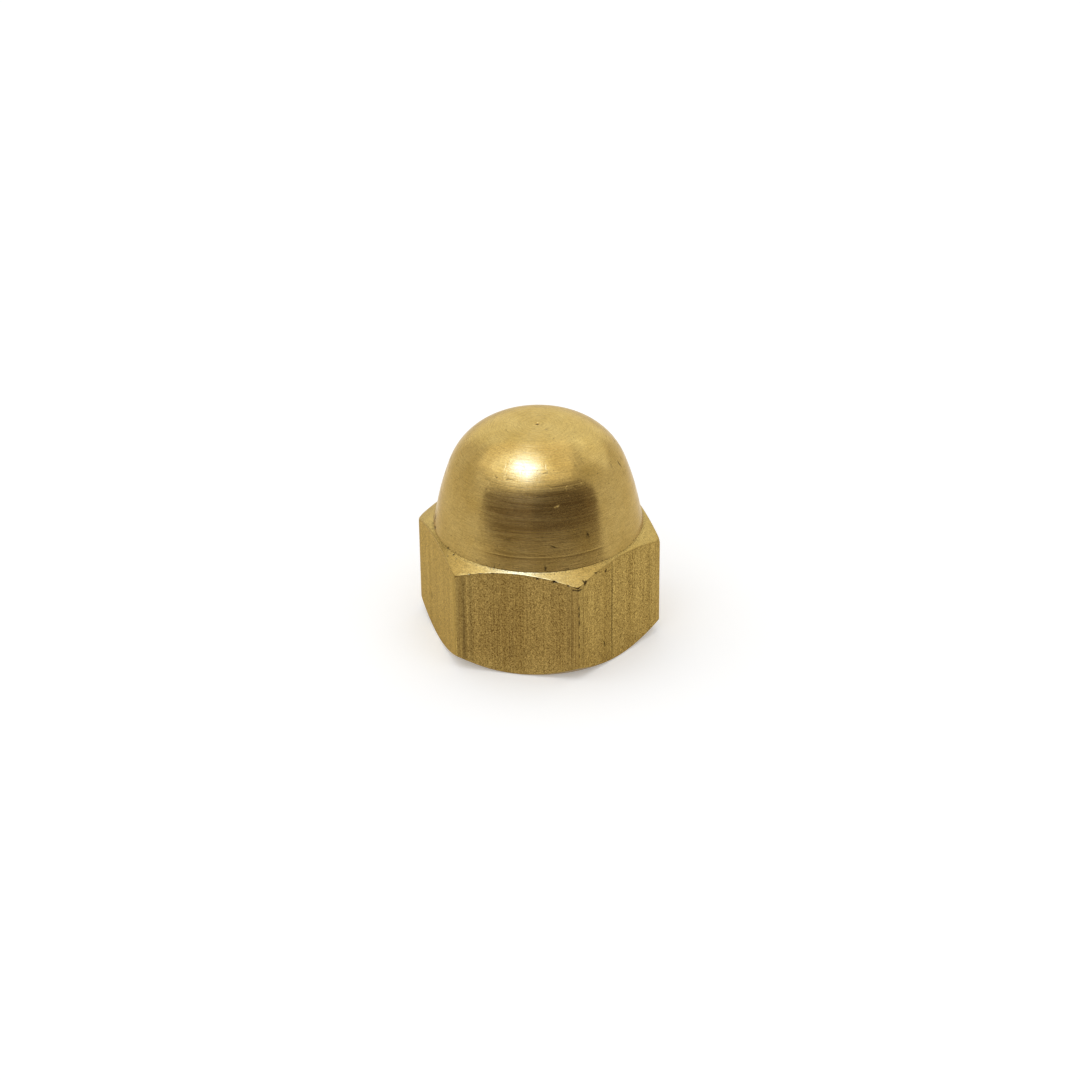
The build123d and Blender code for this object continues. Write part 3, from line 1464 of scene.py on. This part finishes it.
@dataclass(frozen=True)
class Screen:
    """A dark card that stands round the nut.

    Args:
        name: the card's name.
        radius: its distance from the nut's axis, in mm.
        colour: its sRGB colour.
        shape: its outline, as azimuth from the camera's side in degrees, positive to the
            right, and the heights of its lower and upper edge there in mm.
        step: the width of its facets, in degrees.
    """

    name: str
    radius: float
    colour: str
    shape: tuple[tuple[float, float, float], ...]
    step: float = 2.0

    def build(self, camera_azimuth: float) -> None:
        """Stands the card round the nut.

        Args:
            camera_azimuth: the camera's side, in degrees from -Y.
        """
        azimuths, *edges = zip(*self.shape)
        points = []
        for azimuth in np.arange(azimuths[0], azimuths[-1] + 0.1, self.step):
            toward = direction(camera_azimuth + azimuth, 0) * self.radius
            points += [(toward.x, toward.y, np.interp(azimuth, azimuths, e)) for e in edges]
        unseen_card(self.name, points, self.colour)


def seen(add: Adder) -> bpy.types.Node:
    """Adds what tells the eye and reflections from the gathering of light.

    Args:
        add: what adds a node to the tree.

    Returns:
        The node whose output is 1 for the eye and for reflections, and 0 for the rest.
    """
    path = add("ShaderNodeLightPath").outputs
    total = path["Is Camera Ray"]
    for kind in ("Is Glossy Ray", "Is Transmission Ray"):
        total = add("ShaderNodeMath", (total, path[kind]), operation="MAXIMUM")
    return total


@dataclass
class Studio:
    """The pale floor, the white surround, the lamps, the dark cards by the camera and painted
    floor shade.

    The lamps that don't light the floor are bluish. On brass their light comes back paler
    than the metal, as the bright parts do in the photograph.
    """

    camera: ViewCamera = field(default_factory=ViewCamera)
    target_height: float = 10.0
    floor_size: float = 3000.0
    floor_colour: str = "#F4F4F4"
    floor_glow: float = 0.25
    surround_for_shade: float = 0.6
    lamps: tuple[Softbox, ...] = (
        Softbox("key_lamp", -48.0, 74.3, 700.0, (320.0, 270.0), 14.5, "#7094FF"),
        Softbox("overhead_softbox", -62.0, 73.0, 690.0, (640.0, 640.0), 1.45, "#BCD2FF"),
        Softbox("ceiling", -70.0, 80.0, 680.0, (1200.0, 1200.0), 0.62, on_floor=True),
        Softbox("rear_softbox", 180.0, 28.0, 700.0, (900.0, 640.0), 0.66, "#DCEEFF"),
        Softbox("right_softbox", 128.0, 36.0, 700.0, (420.0, 420.0), 0.76, "#DCEAFF"),
    )
    screens: tuple[Screen, ...] = (
        Screen("dark_screen", 66.0, "#8B7E76", DARK_SHAPE),
        Screen("black_screen", 64.0, "#6B5E57", BLACK_SHAPE),
    )
    # Painted floor shade: a grey card in front that only reflections see, so the nut mirrors a
    # darker floor there.
    card_arc: tuple[float, float] = (-42.0, 42.0)
    card_edges: tuple[float, float] = (10.5, 26.0)
    painted_floor_shade_colour: str = "#DDD5CB"
    card_height: float = 0.05
    card_columns: int = 15

    def _floor(self) -> None:
        """Lays the pale floor, which can be looked through from below."""
        half = self.floor_size / 2
        corners = [(-half, -half, 0), (half, -half, 0), (half, half, 0), (-half, half, 0)]
        floor = mesh_object("floor", corners, [(0, 1, 2, 3)])
        made, add = new_material("pale_table_paper")
        paper = add("ShaderNodeBsdfDiffuse", {"Color": linear(self.floor_colour)})
        # The eye and reflections see the paper a little lighter, so that it is white.
        level = add("ShaderNodeMath", (seen(add), self.floor_glow), operation="MULTIPLY")
        glow = add("ShaderNodeEmission", {"Strength": level})
        lit = add("ShaderNodeAddShader", (paper, glow))
        clear = add("ShaderNodeBsdfTransparent")
        below = add("ShaderNodeNewGeometry").outputs["Backfacing"]
        both = add("ShaderNodeMixShader", (below, lit, clear))
        add("ShaderNodeOutputMaterial", {"Surface": both})
        floor.data.materials.append(made)
        log.info("floor: laid")

    def _painted_floor_shade(self) -> None:
        """Lays painted shade on the floor in front: a grey card inside the screens that only
        reflections see.
        """
        points = []
        for azimuth in np.linspace(*self.card_arc, self.card_columns):
            for radius in self.card_edges:
                toward = direction(self.camera.azimuth + azimuth, 0) * radius
                points.append((toward.x, toward.y, self.card_height))
        unseen_card("painted_floor_shade", points, self.painted_floor_shade_colour)

    def _surround(self) -> None:
        """Makes the surround white to the eye and softer as a light."""
        world = bpy.data.worlds.new("white_surround")
        world.use_nodes = True
        world.node_tree.nodes.clear()
        add = partial(add_node, world.node_tree)
        level = add("ShaderNodeMapRange", (seen(add), 0.0, 1.0, self.surround_for_shade, 1.0))
        white = add("ShaderNodeBackground", {"Color": linear("#FFFFFF"), "Strength": level})
        add("ShaderNodeOutputWorld", {"Surface": white})
        bpy.context.scene.world = world

    def build(self) -> None:
        """Sets up the whole studio."""
        self.camera.build()
        self._floor()
        self._painted_floor_shade()
        for screen in self.screens:
            screen.build(self.camera.azimuth)
        self._surround()
        target = Vector((0, 0, self.target_height)) * MM
        for lamp in self.lamps:
            lamp.build(self.camera.azimuth, target)


def main() -> None:
    """Builds the nut and the studio round it."""
    logging.basicConfig(level=logging.INFO, format="%(name)s: %(message)s")
    bpy.context.scene.view_settings.view_transform = "Standard"
    # The chamfers were cut with a broad, blunt tool: they are darker and sandier than the
    # dome, and reflections aren't drawn out on them.
    chamfered = TurnedBrass(
        name="chamfered_brass",
        colour="#B69956",
        shade="#A78947",
        roughness=0.25,
        roughness_spread=0.10,
        anisotropy=0.0,
        ring_depth=0.002,
        speck_size=0.08,
        speck_share=0.63,
        sand=0.28,
    )
    # The bearing face has shallower rings and a softer shine than the dome.
    faced = TurnedBrass(name="faced_brass", roughness=0.3, ring_depth=0.002)
    # The tap leaves the hole a little darker and duller.
    tapped = TurnedBrass(name="tapped_brass", colour="#B39450", roughness=0.34, anisotropy=0.2)
    finishes = {
        Zone.DOME: TurnedBrass().material(),
        Zone.CHAMFER: chamfered.material(),
        Zone.FLAT: DrawnBrass().material(),
        Zone.BEARING: faced.material(),
        Zone.BORE: tapped.material(),
    }
    CapNut().build(finishes)
    Studio().build()


if __name__ == "__main__":
    main()
